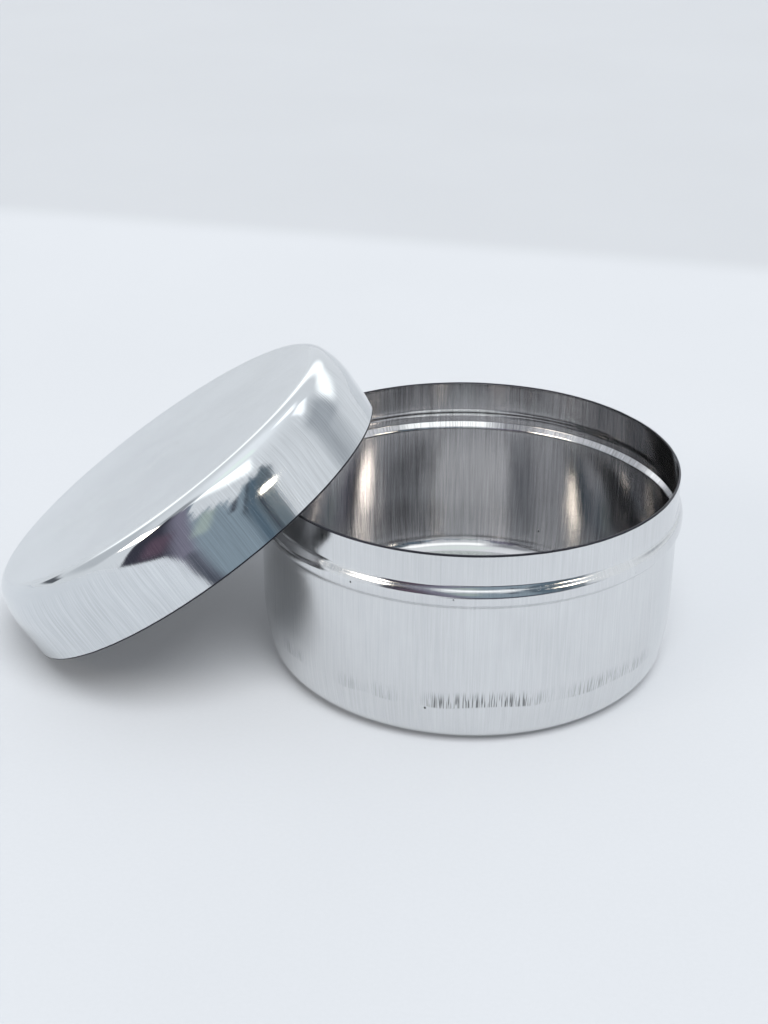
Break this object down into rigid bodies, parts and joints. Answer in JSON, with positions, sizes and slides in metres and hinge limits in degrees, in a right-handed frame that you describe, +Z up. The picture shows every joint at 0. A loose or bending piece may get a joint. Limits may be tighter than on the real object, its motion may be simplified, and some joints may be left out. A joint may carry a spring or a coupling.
{
  "type": "round pressed steel box with lift-off lid",
  "caption": "Low round stainless steel box with a beaded neck, open at the top, and its deep cap-like lid leaning against the rim.",
  "frame": {"origin": "centre of the container's flat base, on the table", "axes": "+Z up along the container's axis; the lid lies towards -X with its lowest edge on the table; +X away from the lid"},
  "size_m": [0.1834, 0.1124, 0.0789],
  "materials": {
    "container_steel": "upright fine grain",
    "lid_steel": "smooth polished top, grained skirt"
  },
  "bodies": {
    "container": {"container": "container_steel"},
    "lid": {"lid": "lid_steel"}
  },
  "joints": [
    {"name": "lid_lift", "type": "slide", "parent": "container", "child": "lid", "axis": [-0.5707, 0, 0.8211], "range_m": [0, 0.06]}
  ]
}
